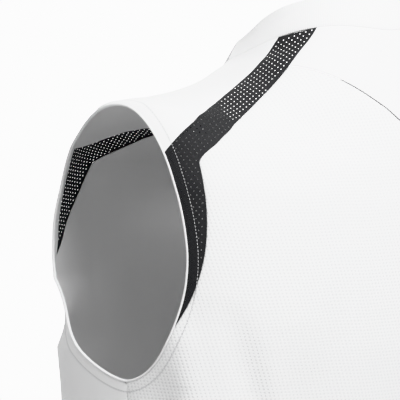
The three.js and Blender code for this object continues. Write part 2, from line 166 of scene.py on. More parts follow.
def formPoint(angle, height):
    angle, height = np.broadcast_arrays(np.asarray(angle, float), np.asarray(height, float))
    turn = np.radians(angle)
    behind = np.sin(turn) > 0
    ring = {name: curve(height) for name, curve in ringCurves.items()}
    reach = np.where(behind, ring["back"] - form["centreDepth"], ring["front"] + form["centreDepth"])
    fullness = np.where(behind, ring["backFullness"], ring["frontFullness"])
    across = (np.abs(np.cos(turn)) / ring["side"]) ** fullness
    along = (np.abs(np.sin(turn)) / reach) ** fullness
    plain = (across + along) ** (-1 / fullness)
    radius = plain + foldOffset(angle, height, plain)
    climb = np.where(height > 0, radius * np.tan(np.maximum(height, 0) / form["tiltRadius"]), height)
    x = radius * np.cos(turn)
    y = form["centreDepth"] + radius * np.sin(turn)
    return np.stack([x, y, form["centreHeight"] + climb], -1)


def clothDirections(angle, height):
    nudge = 0.05
    around = (formPoint(angle + nudge, height) - formPoint(angle - nudge, height)) / (2 * nudge)
    up = (formPoint(angle, height + nudge) - formPoint(angle, height - nudge)) / (2 * nudge)
    return around, up


def unit(vectors):
    return vectors / np.maximum(np.linalg.norm(vectors, axis=-1, keepdims=True), 1e-12)


def clothNormal(angle, height):
    around, up = clothDirections(angle, height)
    return unit(np.cross(around, up))


def clothPoint(angle, height, depth):  # so far in from the cloth's outer face
    depth = np.asarray(depth, float)[..., None]
    return formPoint(angle, height) - clothNormal(angle, height) * depth


# seams, as lines of (angle, height) on the form
seams = {
    "armhole": {"height": -6.0, "reach": 96.0, "backWidth": 20.2, "frontWidth": 34.0, "footDrift": 4.5},
    "armholeFullness": {"upper": 2.0, "lowerBack": 1.8, "lowerFront": 1.5},
    "backBandUpper": [
        (34.4, 199), (30.1, 190), (27.9, 178), (25.4, 163), (22.75, 147), (21.1, 127),
        (20.35, 114), (20.2, 105), (20.35, 96), (19.7, 88), (18.45, 79), (17.05, 71),
        (15.5, 63), (14.2, 57),
    ],
    "backBandLower": [
        (55.5, 199), (51.2, 190), (45.9, 178), (41.3, 163), (37.2, 147), (33.0, 127),
        (30.7, 114), (29.6, 105), (28.9, 96), (28.1, 88), (26.95, 79), (25.75, 71),
        (23.9, 63), (22.9, 57),
    ],
    "frontBandUpper": [
        (-52.0, 165), (-47.0, 145), (-41.5, 128), (-37.5, 114), (-36.0, 105), (-36.6, 97),
        (-37.0, 86), (-36.0, 75), (-32.5, 66), (-26.0, 61), (-18.0, 54),
    ],
    "frontBandLower": [
        (-66.0, 150), (-60.0, 138), (-52.0, 124), (-46.0, 112), (-44.3, 104), (-45.2, 97),
        (-46.9, 87), (-47.4, 77), (-46.2, 66), (-43.4, 56),
    ],
    "backCrescent": {"corner": 57.0, "tip": -63.0, "width": 7.5, "taper": 0.85},
    "frontCrescent": {"corner": 56.0, "tip": -47.0, "width": -17.6, "taper": 1.3},
    "yoke": [(34, 164.5), (42, 161.8), (50, 158.0), (60, 151.8), (70, 143.0), (80, 131.3), (90, 117.5)],
    "side": [(3.0, -540), (4.5, -250), (4.5, -102)],
    "neck": {"middle": 173.0, "once": 31.0, "twice": 16.0},
}


def splineLine(points, each=40):  # a soft curve through the points
    points = np.array(points, float)
    padded = np.vstack([points[:1], points, points[-1:]])
    line = []
    for i in range(len(points) - 1):
        p0, p1, p2, p3 = padded[i : i + 4]
        w = np.linspace(0, 1, each, endpoint=False)[:, None]
        v0, v1 = (p2 - p0) / 2, (p3 - p1) / 2
        cubed = (2 * p1 - 2 * p2 + v0 + v1) * w**3
        squared = (-3 * p1 + 3 * p2 - 2 * v0 - v1) * w**2
        line.append(cubed + squared + v0 * w + p1)
    return np.vstack(line + [points[-1:]])


def pathLengths(line):
    points = formPoint(line[:, 0], line[:, 1])
    return np.concatenate([[0], np.cumsum(np.linalg.norm(np.diff(points, axis=0), axis=1))])


def pointsAlong(line, shares):  # points at these shares of a line's real length
    lengths = pathLengths(line)
    wanted = np.asarray(shares) * lengths[-1]
    return np.stack([np.interp(wanted, lengths, line[:, k]) for k in (0, 1)], -1)


def armholePoint(turn):
    hole, fullness = seams["armhole"], seams["armholeFullness"]
    rise, swing = np.cos(turn), np.sin(turn)
    lower = np.where(swing > 0, fullness["lowerBack"], fullness["lowerFront"])
    power = np.where(rise < 0, lower, fullness["upper"])
    up = np.sign(rise) * np.abs(rise) ** (2 / power)
    drift = hole["footDrift"] * ((1 - up) / 2) ** 2
    width = np.where(swing > 0, hole["backWidth"], hole["frontWidth"])
    angle = drift + width * np.sign(swing) * np.abs(swing) ** (2 / power)
    return np.stack([angle, hole["height"] + hole["reach"] * up], -1)


def armholeTurn(height, behind):  # where the armhole's edge has this height, on its back or front side
    hole, fullness = seams["armhole"], seams["armholeFullness"]
    up = (height - hole["height"]) / hole["reach"]
    lower = fullness["lowerBack"] if behind else fullness["lowerFront"]
    power = lower if up < 0 else fullness["upper"]
    turn = math.acos(math.copysign(abs(up) ** (power / 2), up))
    return turn if behind else 2 * math.pi - turn


def armholePart(start, end, count=240):
    return armholePoint(np.linspace(start, end, count))


def crescentLine(crescent, behind):
    heights = np.linspace(crescent["tip"], crescent["corner"], 160)
    turns = np.array([armholeTurn(h, behind) for h in heights])
    share = (heights - crescent["tip"]) / (crescent["corner"] - crescent["tip"])
    line = armholePoint(turns)
    line[:, 0] += crescent["width"] * share ** crescent["taper"]
    return line


def neckHeight(angle):
    neck, turn = seams["neck"], np.radians(angle)
    return neck["middle"] + neck["once"] * np.sin(turn) + neck["twice"] * np.cos(2 * turn)


def neckLine(start, end):
    angles = np.linspace(start, end, 240)
    return np.stack([angles, neckHeight(angles)], -1)


def mirrored(line):
    return np.stack([180 - line[:, 0], line[:, 1]], -1)


def flatSide(a, b, c):  # twice the area of a flat triangle, below 0 where it runs clockwise
    ahead, aside = b - a, c - a
    return ahead[..., 0] * aside[..., 1] - ahead[..., 1] * aside[..., 0]


def crossing(one, other):  # where line one first meets the other: (index into one, point)
    a, b = one[:-1, None], one[1:, None]
    c, d = other[None, :-1], other[None, 1:]
    sa, sb = flatSide(c, d, a), flatSide(c, d, b)
    hits = (sa * sb <= 0) & (flatSide(a, b, c) * flatSide(a, b, d) <= 0)
    i, j = np.argwhere(hits)[0]
    t = sa[i, j] / (sa[i, j] - sb[i, j])
    return i, one[i] + (one[i + 1] - one[i]) * t


def before(one, other):
    i, point = crossing(one, other)
    return np.vstack([one[: i + 1], point])


def after(one, other):
    i, point = crossing(one, other)
    return np.vstack([point, one[i + 1 :]])


def cutLines():  # the left side's seams, trimmed where they meet
    hole = armholePart(0, 2 * math.pi, 720)
    neck = neckLine(-90, 90)
    yoke = splineLine(seams["yoke"] + [(180 - a, h) for a, h in reversed(seams["yoke"][:-1])])
    rising = {name: splineLine(seams[name])[::-1] for name in seams if "Band" in name}
    lower = rising["backBandLower"]
    lines = {"hole": hole, "yoke": after(before(yoke, mirrored(lower)), lower)}
    lines["backUpper"] = before(after(rising["backBandUpper"], hole), neck)
    lines["backLower"] = before(lower, neck)
    lines["backLowerParts"] = before(lines["backLower"], yoke), after(lines["backLower"], yoke)
    lines["frontUpper"] = before(after(rising["frontBandUpper"], hole), neck)
    lines["frontLower"] = before(rising["frontBandLower"], neck)
    lines["backCrescent"] = crescentLine(seams["backCrescent"], True)
    lines["frontCrescent"] = crescentLine(seams["frontCrescent"], False)
    return lines


lines = cutLines()


# real lengths over the cloth: round it and up it, as its grain runs
angleStep, heightStep = 2.0, 5.0
lengthAngles = np.arange(-192.0, 193.0, angleStep)
lengthHeights = np.arange(-545.0, 236.0, heightStep)


def lengthTables():
    points = formPoint(lengthAngles[:, None], lengthHeights[None, :])
    around = np.linalg.norm(np.diff(points, axis=0), axis=2).cumsum(0)
    up = np.linalg.norm(np.diff(points, axis=1), axis=2).cumsum(1)
    return np.pad(around, ((1, 0), (0, 0))), np.pad(up, ((0, 0), (1, 0)))


aroundTable, upTable = lengthTables()


def lookUp(table, angle, height):
    i = np.clip((angle - lengthAngles[0]) / angleStep, 0, len(lengthAngles) - 1.001)
    j = np.clip((height - lengthHeights[0]) / heightStep, 0, len(lengthHeights) - 1.001)
    i0, j0 = i.astype(int), j.astype(int)
    u, v = i - i0, j - j0
    low = table[i0, j0] * (1 - u) + table[i0 + 1, j0] * u
    high = table[i0, j0 + 1] * (1 - u) + table[i0 + 1, j0 + 1] * u
    return low * (1 - v) + high * v


def grainPlace(angle, height, middle):
    start = lookUp(aroundTable, np.full_like(height, middle), height)
    return np.stack([lookUp(aroundTable, angle, height) - start, lookUp(upTable, angle, height)], -1)


# meshes
def meshFrom(name, points, faces, grain, material):  # points in millimetres, grain one row a point
    mesh = bpy.data.meshes.new(name)
    mesh.from_pydata([tuple(p) for p in (np.asarray(points) * millimetre).tolist()], [], faces)
    mesh.validate()
    layer = mesh.uv_layers.new(name="grain")
    corners = np.empty(len(mesh.loops), int)
    mesh.loops.foreach_get("vertex_index", corners)
    layer.data.foreach_set("uv", (np.asarray(grain)[corners] * millimetre).astype(np.float32).ravel())
    mesh.materials.append(material)
    mesh.polygons.foreach_set("use_smooth", [True] * len(mesh.polygons))
    piece = bpy.data.objects.new(name, mesh)
    bpy.context.collection.objects.link(piece)
    return piece


def smoothByAngle(piece, degrees):
    bpy.ops.object.select_all(action="DESELECT")
    piece.select_set(True)
    bpy.context.view_layer.objects.active = piece
    bpy.ops.object.shade_smooth_by_angle(angle=math.radians(degrees))


def gridFaces(rows, columns, closedRows=False, closedColumns=False, offset=0, flip=False):
    faces = []
    for i in range(rows if closedRows else rows - 1):
        for j in range(columns if closedColumns else columns - 1):
            a, b = i * columns + j, i * columns + (j + 1) % columns
            c, d = ((i + 1) % rows) * columns + (j + 1) % columns, ((i + 1) % rows) * columns + j
            face = (a, b, c, d)
            faces.append(tuple(offset + k for k in (face[::-1] if flip else face)))
    return faces


# an edge's rows stand this far in from it, in millimetres, and dip this deep towards the seam
edgeSteps = np.array([0, 0.3, 0.9, 2.0, 4.2])
edgeDips = np.array([1.1, 0.8, 0.4, 0.16, 0.0])
innerDip = 0.4  # how much of a dip the cloth's inner face follows
sharpAngle = 50  # facets that meet at more than this many degrees keep their edge


def edgedShares(length, count):
    steps = edgeSteps / length
    return np.concatenate([steps[:-1], np.linspace(steps[-1], 1 - steps[-1], count), 1 - steps[-2::-1]])


def patchGrid(bottom, top, left, right, columns, rows):
    # a net between four seams; bottom and top run left to right, left and right run upwards
    bottomShares = edgedShares(pathLengths(bottom)[-1], columns)
    topShares = edgedShares(pathLengths(top)[-1], columns)
    leftShares = edgedShares(pathLengths(left)[-1], rows)
    across = ((bottomShares + topShares) / 2)[None, :, None]
    b, t = pointsAlong(bottom, bottomShares)[None], pointsAlong(top, topShares)[None]
    l, r = pointsAlong(left, leftShares)[:, None], pointsAlong(right, leftShares)[:, None]
    up = leftShares[:, None, None]
    leftEnds = (1 - up) * b[:, :1] + up * t[:, :1]
    rightEnds = (1 - up) * b[:, -1:] + up * t[:, -1:]
    corners = (1 - across) * leftEnds + across * rightEnds
    return (1 - up) * b + up * t + (1 - across) * l + across * r - corners


def seamDips(rows, columns, sewn):  # sewn: how strongly the bottom, top, left and right dip to a seam
    dips = np.zeros((rows, columns))
    for i, dip in enumerate(edgeDips):
        edgeRows = {"bottom": dips[i], "top": dips[-1 - i], "left": dips[:, i], "right": dips[:, -1 - i]}
        for edge, row in edgeRows.items():
            np.maximum(row, dip * sewn.get(edge, 0), out=row)
    return dips


def addDistance(piece, label, line):  # on each point: how far it is from a line over the cloth, in metres
    route = formPoint(*line.T) * millimetre
    layer = piece.data.attributes.new(label, "FLOAT", "POINT")
    places = np.empty(len(piece.data.vertices) * 3)
    piece.data.vertices.foreach_get("co", places)
    places = places.reshape(-1, 3)
    batches = np.array_split(places, 60)  # a few at a time, to save memory
    away = np.concatenate([np.linalg.norm(some[:, None] - route[None], axis=2).min(1) for some in batches])
    layer.data.foreach_set("value", away.astype(np.float32))


def clothPatch(name, net, middle, sewn, thickness, material):
    rows, columns = net.shape[:2]
    angle, height = net[..., 0], net[..., 1]
    dips = seamDips(rows, columns, sewn)
    outer = clothPoint(angle, height, dips).reshape(-1, 3)
    inner = clothPoint(angle, height, dips * innerDip + thickness).reshape(-1, 3)
    grain = grainPlace(angle, height, middle).reshape(-1, 2)
    count = rows * columns
    faces = gridFaces(rows, columns) + gridFaces(rows, columns, offset=count, flip=True)
    rim = list(range(columns)) + [i * columns + columns - 1 for i in range(1, rows)]
    rim += [(rows - 1) * columns + j for j in range(columns - 2, -1, -1)]
    rim += [i * columns for i in range(rows - 2, 0, -1)]
    for a, b in zip(rim, rim[1:] + rim[:1]):
        faces.append((b, a, a + count, b + count))
    piece = meshFrom(name + "_cloth", np.vstack([outer, inner]), faces, np.vstack([grain, grain]), material)
    smoothByAngle(piece, sharpAngle)
    return piece, 0.5 * sum(p.area for p in piece.data.polygons)


# a band's strip, laid flat by its real lengths, pierced, and put back on the form
band = {
    "holeRadius": 0.45,
    "hemHoleRadius": 0.22,
    "pitchAcross": 4.5,
    "pitchUp": 2.8,
    "clearOfSeam": 1.5,
    "clearOfHem": 9.4,
    "outer": 0.05,
    "thickness": 0.11,
    "seamDip": 0.6,
    "dipReach": 0.6,
    "holeSides": 8,
    "stripRows": 46,
    "crescentRows": 62,
    "uprightRow": 14,
}


def placeBy(p, q, fromP, fromQ):  # the point at two distances from p and q, on the right of p to q
    line = q - p
    length = np.linalg.norm(line)
    along = (fromP**2 - fromQ**2 + length**2) / (2 * length)
    off = math.sqrt(max(fromP**2 - along**2, 0))
    line = line / length
    return p + line * along + np.array([line[1], -line[0]]) * off


def layFlat(upper, lower):  # two edges of a strip, as points in space
    flatUpper = [np.array([0.0, 0.0])]
    flatLower = [np.array([np.linalg.norm(lower[0] - upper[0]), 0.0])]
    for i in range(len(upper) - 1):
        here, there = upper[i + 1], lower[i + 1]
        p, q = flatUpper[-1], flatLower[-1]
        a = placeBy(p, q, np.linalg.norm(here - upper[i]), np.linalg.norm(here - lower[i]))
        b = placeBy(a, q, np.linalg.norm(there - here), np.linalg.norm(there - lower[i]))
        flatUpper.append(a)
        flatLower.append(b)
    return np.array(flatUpper), np.array(flatLower)


def nearness(points, line):  # how far each point is from a line of points
    a, b = line[:-1], line[1:]
    d = b - a
    t = np.einsum("pik,ik->pi", points[:, None] - a[None], d) / np.maximum((d * d).sum(1), 1e-12)
    foot = a[None] + np.clip(t, 0, 1)[..., None] * d[None]
    return np.linalg.norm(points[:, None] - foot, axis=2).min(1)


def insideOf(points, ring):
    a, b = ring, np.roll(ring, -1, 0)
    x, y = points[:, 0, None], points[:, 1, None]
    spans = (a[None, :, 1] > y) != (b[None, :, 1] > y)
    rise = np.where(b[:, 1] == a[:, 1], 1e-12, b[:, 1] - a[:, 1])
    crossingX = a[None, :, 0] + (y - a[None, :, 1]) / rise[None] * (b[:, 0] - a[:, 0])[None]
    return (spans & (x < crossingX)).sum(1) % 2 == 1


def bandEdges(behind):  # both edges from the neck to the tip, matched at the corner: armhole side first
    side = "back" if behind else "front"
    upper, lower = lines[side + "Upper"], lines[side + "Lower"]
    crescent = lines[side + "Crescent"][::-1]
    corner = armholeTurn(upper[0, 1], behind)
    tip = armholeTurn(seams[side + "Crescent"]["tip"], behind)
    rim = armholePart(corner, tip)
    strip, curve = np.linspace(0, 1, band["stripRows"]), np.linspace(0, 1, band["crescentRows"])[1:-1]
    upperEdge = np.vstack([pointsAlong(upper[::-1], strip), pointsAlong(rim, curve)])
    lowerEdge = np.vstack([pointsAlong(lower[::-1], strip), pointsAlong(crescent, curve)])
    return upperEdge, lowerEdge


def uprightSpin(upperEdge, upper, lower, flatUpper, flatLower):  # stands the flat strip's grain upright
    i = band["stripRows"] + band["uprightRow"]
    _, up = clothDirections(*upperEdge[i])
    basis = np.stack([lower[i] - upper[i], upper[i + 1] - upper[i]], 1)
    flatBasis = np.stack([flatLower[i] - flatUpper[i], flatUpper[i + 1] - flatUpper[i]], 1)
    s, c = unit(flatBasis @ np.linalg.lstsq(basis, unit(up), rcond=None)[0])
    return np.array([[c, -s], [s, c]])


def holeCentres(ring, closedRing):  # rows of holes clear of the seams, every second row moved half a pitch
    low, high = ring.min(0), ring.max(0)
    rows = np.arange(low[1], high[1], band["pitchUp"])
    across = np.arange(low[0], high[0], band["pitchAcross"])
    shift = band["pitchAcross"] / 2
    centres = np.array([(x + (j % 2) * shift, y) for j, y in enumerate(rows) for x in across])
    centres = centres[insideOf(centres, ring)]
    return centres[nearness(centres, closedRing) > band["clearOfSeam"]]


def pierced(ring, centres, radii):  # the flat strip's points, and its triangles without the holes
    sides = band["holeSides"]
    turns = np.radians((np.arange(sides) + 0.5) * 360 / sides)
    hole = np.stack([np.cos(turns), np.sin(turns)], -1)
    flat = np.vstack([ring] + [centre + hole * radius for centre, radius in zip(centres, radii)])
    starts = [len(ring) + sides * k for k in range(len(centres))]
    outlines = [list(range(len(ring)))] + [list(range(start, start + sides)) for start in starts]
    cut = delaunay_2d_cdt([Vector(p) for p in flat.tolist()], [], outlines, 1, 1e-7)
    triangles = [tuple(f) for f, origin in zip(cut[2], cut[5]) if list(origin) == [0]]
    return np.array([tuple(v) for v in cut[0]]), triangles


def placesOnForm(flat, flatUpper, flatLower, upperEdge, lowerEdge):
    # each flat point takes its place in the strip's triangles, and so its angle and height
    corners = []
    for i in range(len(flatUpper) - 1):
        a, b = (flatUpper[i], upperEdge[i]), (flatLower[i], lowerEdge[i])
        c, d = (flatUpper[i + 1], upperEdge[i + 1]), (flatLower[i + 1], lowerEdge[i + 1])
        corners += [(a, b, c), (b, d, c)]
    p = np.array([[q[0] for q in t] for t in corners])
    where = np.array([[q[1] for q in t] for t in corners])
    area = flatSide(p[:, 0], p[:, 1], p[:, 2])
    sides = ((1, 2), (2, 0), (0, 1))
    shares = [flatSide(p[None, :, i], p[None, :, j], flat[:, None]) for i, j in sides]
    weights = np.stack(shares, -1) / area[None, :, None]
    best = weights.min(2).argmax(1)
    weight = weights[np.arange(len(flat)), best]
    return np.einsum("pk,pkc->pc", weight, where[best]), sum(abs(x) for x in area) / 2


def smallestBox(ring):  # the smallest rectangle round a flat shape, tried every 3 degrees
    turns = [math.radians(k) for k in range(0, 180, 3)]
    boxes = [np.ptp(ring @ [[math.cos(t), -math.sin(t)], [math.sin(t), math.cos(t)]], axis=0) for t in turns]
    return min(boxes, key=lambda box: box[0] * box[1])


def shellFaces(triangles, count):  # both faces of the net, and the walls round its rim and holes
    edges = {}
    for t in triangles:
        for a, b in zip(t, t[1:] + t[:1]):
            edges[a, b] = True
    walls = [(b, a, a + count, b + count) for a, b in edges if (b, a) not in edges]
    return triangles + [tuple(k + count for k in t[::-1]) for t in triangles] + walls


def bandMesh(name, behind, material):
    upperEdge, lowerEdge = bandEdges(behind)
    upper, lower = formPoint(*upperEdge.T), formPoint(*lowerEdge.T)
    flatUpper, flatLower = layFlat(upper, lower)
    spin = uprightSpin(upperEdge, upper, lower, flatUpper, flatLower)
    flatUpper, flatLower = flatUpper @ spin.T, flatLower @ spin.T
    ring = np.vstack([flatUpper, flatLower[::-1]])
    closedRing = np.vstack([ring, ring[:1]])
    centres = holeCentres(ring, closedRing)
    # over the turned-in hem the holes are pinched small
    inHem = nearness(centres, flatUpper[band["stripRows"] - 1 :]) < band["clearOfHem"]
    radii = np.where(inHem, band["hemHoleRadius"], band["holeRadius"])
    flat, triangles = pierced(ring, centres, radii)
    place, area = placesOnForm(flat, flatUpper, flatLower, upperEdge, lowerEdge)
    dip = band["outer"] + band["seamDip"] * np.exp(-((nearness(flat, closedRing) / band["dipReach"]) ** 2))
    outer = clothPoint(place[:, 0], place[:, 1], dip)
    inner = clothPoint(place[:, 0], place[:, 1], np.full(len(flat), band["outer"] + band["thickness"]))
    a, b, c = (outer[k] for k in triangles[0])
    if np.dot(np.cross(b - a, c - a), clothNormal(*place[triangles[0][0]])) < 0:
        triangles = [t[::-1] for t in triangles]
    faces = shellFaces(triangles, len(flat))
    piece = meshFrom(name + "_cloth", np.vstack([outer, inner]), faces, np.vstack([flat, flat]), material)
    smoothByAngle(piece, sharpAngle)
    size = smallestBox(ring)
    print(name, "flat", size.round(1), "area", round(area), "of", round(size[0] * size[1]))
    print(name, "holes", len(centres), "faces", len(piece.data.polygons))
    return piece, size, area


# fabrics, each on its piece's own grain in millimetres
fabrics = {
    "jersey": {"colour": (0.895, 0.895, 0.897, 1), "roughness": 0.72, "sheen": 0.12},
    "pique": {"colour": (0.898, 0.898, 0.9, 1), "roughness": 0.82, "sheen": 0.08},
    "mesh": {"colour": (0.040, 0.0403, 0.042, 1), "roughness": 0.62, "sheen": 0.03},
    "rib": {"colour": (0.905, 0.905, 0.907, 1), "roughness": 0.78, "sheen": 0.1},
    "thread": {"colour": (0.86, 0.86, 0.87, 1), "roughness": 0.6, "sheen": 0.05},
}
paintedHemShadeColour = (0.62, 0.62, 0.625, 1)  # painted shade of the sunk line of stitching on white cloth
seamShadeColour = (0.12, 0.12, 0.125, 1)  # the shaded ditch under the yoke's edge
paintedDotShadeColour = (0.79, 0.79, 0.795, 1)  # painted shade in the sunk dots of the pique
hemStitchDistance = 8.2  # how far from the armhole's edge its hem is stitched


def newGroup(name, inputs, output):
    group = bpy.data.node_groups.new(name, "ShaderNodeTree")
    group.interface.new_socket("Vector", in_out="INPUT", socket_type="NodeSocketVector")
    for label, value in inputs:
        socket = group.interface.new_socket(label, in_out="INPUT", socket_type="NodeSocketFloat")
        socket.default_value = value
    group.interface.new_socket(output, in_out="OUTPUT", socket_type="NodeSocketFloat")
    return group, group.nodes.new("NodeGroupInput"), group.nodes.new("NodeGroupOutput")


def mathNode(tree, operation, *values):
    node = tree.nodes.new("ShaderNodeMath")
    node.operation = operation
    for socket, value in zip(node.inputs, values):
        if isinstance(value, (int, float)):
            socket.default_value = value
        else:
            tree.links.new(value, socket)
    return node.outputs[0]


def nearestStep(tree, value, pitch):  # how far a place is from its nearest step, and that step's number
    steps = mathNode(tree, "DIVIDE", value, pitch)
    nearest = mathNode(tree, "ROUND", steps)
    away = mathNode(tree, "MULTIPLY", mathNode(tree, "SUBTRACT", steps, nearest), pitch)
    return away, nearest


def dotLatticeGroup():  # soft round dots in rows, each row moved along by a share of the pitch
    inputs = (("Across", 2.6), ("Up", 2.2), ("Shift", 0.5), ("Radius", 0.6), ("Softness", 0.4))
    group, given, out = newGroup("dotLattice", inputs, "Mask")
    parts = group.nodes.new("ShaderNodeSeparateXYZ")
    group.links.new(given.outputs["Vector"], parts.inputs[0])
    awayUp, row = nearestStep(group, parts.outputs["Y"], given.outputs["Up"])
    shift = mathNode(group, "MULTIPLY", row, given.outputs["Shift"])
    moved = mathNode(group, "MULTIPLY", shift, given.outputs["Across"])
    alongRow = mathNode(group, "ADD", parts.outputs["X"], moved)
    awayAcross, _ = nearestStep(group, alongRow, given.outputs["Across"])
    squares = [mathNode(group, "MULTIPLY", away, away) for away in (awayUp, awayAcross)]
    distance = mathNode(group, "SQRT", mathNode(group, "ADD", *squares))
    fade = group.nodes.new("ShaderNodeMapRange")
    fade.interpolation_type = "SMOOTHSTEP"
    group.links.new(distance, fade.inputs["Value"])
    for operation, end in (("SUBTRACT", "From Min"), ("ADD", "From Max")):
        edge = mathNode(group, operation, given.outputs["Radius"], given.outputs["Softness"])
        group.links.new(edge, fade.inputs[end])
    fade.inputs["To Min"].default_value = 1
    fade.inputs["To Max"].default_value = 0
    group.links.new(fade.outputs["Result"], out.inputs["Mask"])
    return group


def knitColumnsGroup():  # columns of stitches: round ridges along the grain, faintly notched up them
    group, given, out = newGroup("knitColumns", (("Pitch", 1.2), ("Notch", 0.3)), "Height")
    parts = group.nodes.new("ShaderNodeSeparateXYZ")
    group.links.new(given.outputs["Vector"], parts.inputs[0])
    columns = mathNode(group, "DIVIDE", parts.outputs["X"], given.outputs["Pitch"])
    turn = mathNode(group, "MULTIPLY", columns, math.pi)
    ridge = mathNode(group, "ABSOLUTE", mathNode(group, "SINE", turn))
    courses = mathNode(group, "DIVIDE", parts.outputs["Y"], given.outputs["Pitch"])
    rise = mathNode(group, "MULTIPLY", courses, math.tau)
    notch = mathNode(group, "MULTIPLY", mathNode(group, "SINE", rise), given.outputs["Notch"])
    group.links.new(mathNode(group, "ADD", ridge, notch), out.inputs["Height"])
    return group


dotLattice = dotLatticeGroup()
knitColumns = knitColumnsGroup()


def newMaterial(name, fabric):
    material = bpy.data.materials.new(name)
    material.use_nodes = True
    tree = material.node_tree
    shader = tree.nodes["Principled BSDF"]
    shader.inputs["Base Color"].default_value = fabric["colour"]
    shader.inputs["Roughness"].default_value = fabric["roughness"]
    shader.inputs["Specular IOR Level"].default_value = 0.25
    shader.inputs["Sheen Weight"].default_value = fabric["sheen"]
    shader.inputs["Sheen Roughness"].default_value = 0.5
    material.diffuse_color = fabric["colour"]
    place = tree.nodes.new("ShaderNodeUVMap")
    place.uv_map = "grain"
    scale = tree.nodes.new("ShaderNodeVectorMath")
    scale.operation = "SCALE"
    scale.inputs["Scale"].default_value = 1000
    tree.links.new(place.outputs["UV"], scale.inputs[0])
    return material, tree, shader, scale.outputs["Vector"]


def placeGroup(tree, group, grain, **values):
    node = tree.nodes.new("ShaderNodeGroup")
    node.node_tree = group
    tree.links.new(grain, node.inputs["Vector"])
    for label, value in values.items():
        node.inputs[label].default_value = value
    return node.outputs[0]


def addBump(tree, shader, height, depth, strength=1.0):
    bump = tree.nodes.new("ShaderNodeBump")
    bump.inputs["Distance"].default_value = depth * millimetre
    bump.inputs["Strength"].default_value = strength
    tree.links.new(height, bump.inputs["Height"])
    if shader.inputs["Normal"].is_linked:
        tree.links.new(shader.inputs["Normal"].links[0].from_socket, bump.inputs["Normal"])
    tree.links.new(bump.outputs["Normal"], shader.inputs["Normal"])


def mixColour(tree, shader, mask, colour, other):
    mix = tree.nodes.new("ShaderNodeMix")
    mix.data_type = "RGBA"
    mix.inputs["A"].default_value = colour
    if shader.inputs["Base Color"].is_linked:
        tree.links.new(shader.inputs["Base Color"].links[0].from_socket, mix.inputs["A"])
    mix.inputs["B"].default_value = other
    tree.links.new(mask, mix.inputs["Factor"])
    tree.links.new(mix.outputs["Result"], shader.inputs["Base Color"])


def softUnevenness(tree, shader, depth):  # slow waves in the cloth, a few centimetres long
    place = tree.nodes.new("ShaderNodeTexCoord")
    noise = tree.nodes.new("ShaderNodeTexNoise")
    noise.inputs["Scale"].default_value = 22
    noise.inputs["Detail"].default_value = 1.5
    tree.links.new(place.outputs["Object"], noise.inputs["Vector"])
    addBump(tree, shader, noise.outputs["Fac"], depth)


def lineMask(tree, label, middle, core, fade):  # 1 at one distance from a seam, fading either side of it
    place = tree.nodes.new("ShaderNodeAttribute")
    place.attribute_name = label
    away = mathNode(tree, "ABSOLUTE", mathNode(tree, "SUBTRACT", place.outputs["Fac"], middle * millimetre))
    mask = tree.nodes.new("ShaderNodeMapRange")
    mask.interpolation_type = "SMOOTHSTEP"
    mask.inputs["From Min"].default_value = core * millimetre
    mask.inputs["From Max"].default_value = fade * millimetre
    mask.inputs["To Min"].default_value = 1
    mask.inputs["To Max"].default_value = 0
    tree.links.new(away, mask.inputs["Value"])
    return mask.outputs["Result"]


# where the painted shade of the sunk hem stitching lies, at its distance from the armhole's edge
def paintedHemShadeMask(tree):
    return lineMask(tree, "fromArmhole", hemStitchDistance, 0.15, 0.75)


def jerseyMaterial():
    material, tree, shader, grain = newMaterial("whiteJersey", fabrics["jersey"])
    softUnevenness(tree, shader, 1.2)
    addBump(tree, shader, placeGroup(tree, knitColumns, grain, Pitch=0.9, Notch=0.25), 0.03)
    # painted shade along the sunk hem stitching
    mixColour(tree, shader, paintedHemShadeMask(tree), fabrics["jersey"]["colour"], paintedHemShadeColour)
    return material


def piqueMaterial():
    fabric = fabrics["pique"]
    material, tree, shader, grain = newMaterial("whitePique", fabric)
    softUnevenness(tree, shader, 1.2)
    dots = placeGroup(tree, dotLattice, grain, Across=3.2, Up=2.4, Shift=0.27, Radius=0.7, Softness=0.45)
    # painted shade in the pique's sunk dots, over the bump that sinks them
    mixColour(tree, shader, dots, fabric["colour"], paintedDotShadeColour)
    addBump(tree, shader, mathNode(tree, "SUBTRACT", 1.0, dots), 0.16)
    # painted shade along the sunk hem stitching
    mixColour(tree, shader, paintedHemShadeMask(tree), fabric["colour"], paintedHemShadeColour)
    mixColour(tree, shader, lineMask(tree, "fromYoke", 0.0, 0.75, 1.5), fabric["colour"], seamShadeColour)
    return material


def meshMaterial():
    material, tree, shader, grain = newMaterial("blackMesh", fabrics["mesh"])
    addBump(tree, shader, placeGroup(tree, knitColumns, grain, Pitch=0.9, Notch=0.5), 0.08)
    return material


def ribMaterial():
    material, tree, shader, grain = newMaterial("whiteRib", fabrics["rib"])
    addBump(tree, shader, placeGroup(tree, knitColumns, grain, Pitch=1.7, Notch=0.08), 0.12)
    return material


materials = {
    "jersey": jerseyMaterial(),
    "pique": piqueMaterial(),
    "mesh": meshMaterial(),
    "rib": ribMaterial(),
    "thread": newMaterial("whiteThread", fabrics["thread"])[0],
}
print("materials done")

# the panels
panelThickness = 1.0
made = {}


def joined(*parts):  # lines end to end, without their repeated corners
    return np.vstack([parts[0]] + [part[1:] for part in parts[1:]])


def sidePath(behind):  # from the hem up one side's seams to the panel's top corner
    crescentName = "backCrescent" if behind else "frontCrescent"
    crescent, tip = lines[crescentName], seams[crescentName]["tip"]
    side = splineLine(seams["side"])
    rim = armholePart(math.pi, armholeTurn(tip, behind))
    upper = lines["backLowerParts"][0] if behind else lines["frontLower"]
    return joined(side, rim, crescent, upper)


def acrossFront(line):
    return np.stack([-180 - line[:, 0], line[:, 1]], -1)


def hemLine(start, end):
    return np.stack([np.linspace(start, end, 300), np.full(300, seams["side"][0][1])], -1)


